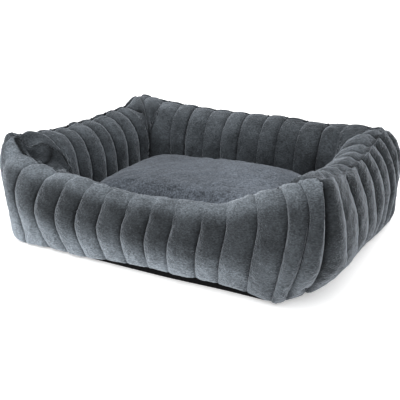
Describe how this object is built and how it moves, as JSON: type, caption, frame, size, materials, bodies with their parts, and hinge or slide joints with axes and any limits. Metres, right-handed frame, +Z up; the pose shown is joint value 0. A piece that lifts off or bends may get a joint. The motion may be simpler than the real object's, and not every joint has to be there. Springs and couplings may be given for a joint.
{
  "type": "pet cushion bed",
  "caption": "Rectangular pet bed with stuffed ribbed plush walls dipping at the front, a padded non-slip base and a loose domed cushion.",
  "frame": {"origin": "centre of the underside, on the surface that the bed stands on", "axes": "+X along the longer side, -Y out of the low front wall, +Z up"},
  "size_m": [0.684, 0.522, 0.204],
  "materials": {
    "bolster_plush": "dense short-pile slate-grey faux fur, stitched into upright ribs",
    "cushion_plush": "smooth short-pile plush, slightly paler than the walls",
    "non_slip_base": "black coated non-slip cloth, matt",
    "floor_lining": "dark woven lining",
    "base_foam": "flat foam sheet",
    "fibre_filling": "white polyester fibre"
  },
  "bodies": {
    "bed": {"outer_panel_front": "bolster_plush", "inner_panel_front": "bolster_plush", "bolster_fill_front": "fibre_filling", "outer_panel_right": "bolster_plush", "inner_panel_right": "bolster_plush", "bolster_fill_right": "fibre_filling", "outer_panel_back": "bolster_plush", "inner_panel_back": "bolster_plush", "bolster_fill_back": "fibre_filling", "outer_panel_left": "bolster_plush", "inner_panel_left": "bolster_plush", "bolster_fill_left": "fibre_filling", "base_cloth": "non_slip_base", "base_pad": "base_foam", "floor_lining": "floor_lining"},
    "cushion": {"cushion_top_panel": "cushion_plush", "cushion_bottom_panel": "cushion_plush", "cushion_fill": "fibre_filling"}
  },
  "joints": [
    {"name": "cushion_lift", "type": "slide", "parent": "bed", "child": "cushion", "axis": [0, 0, 1], "range_m": [0, 0.25]}
  ]
}
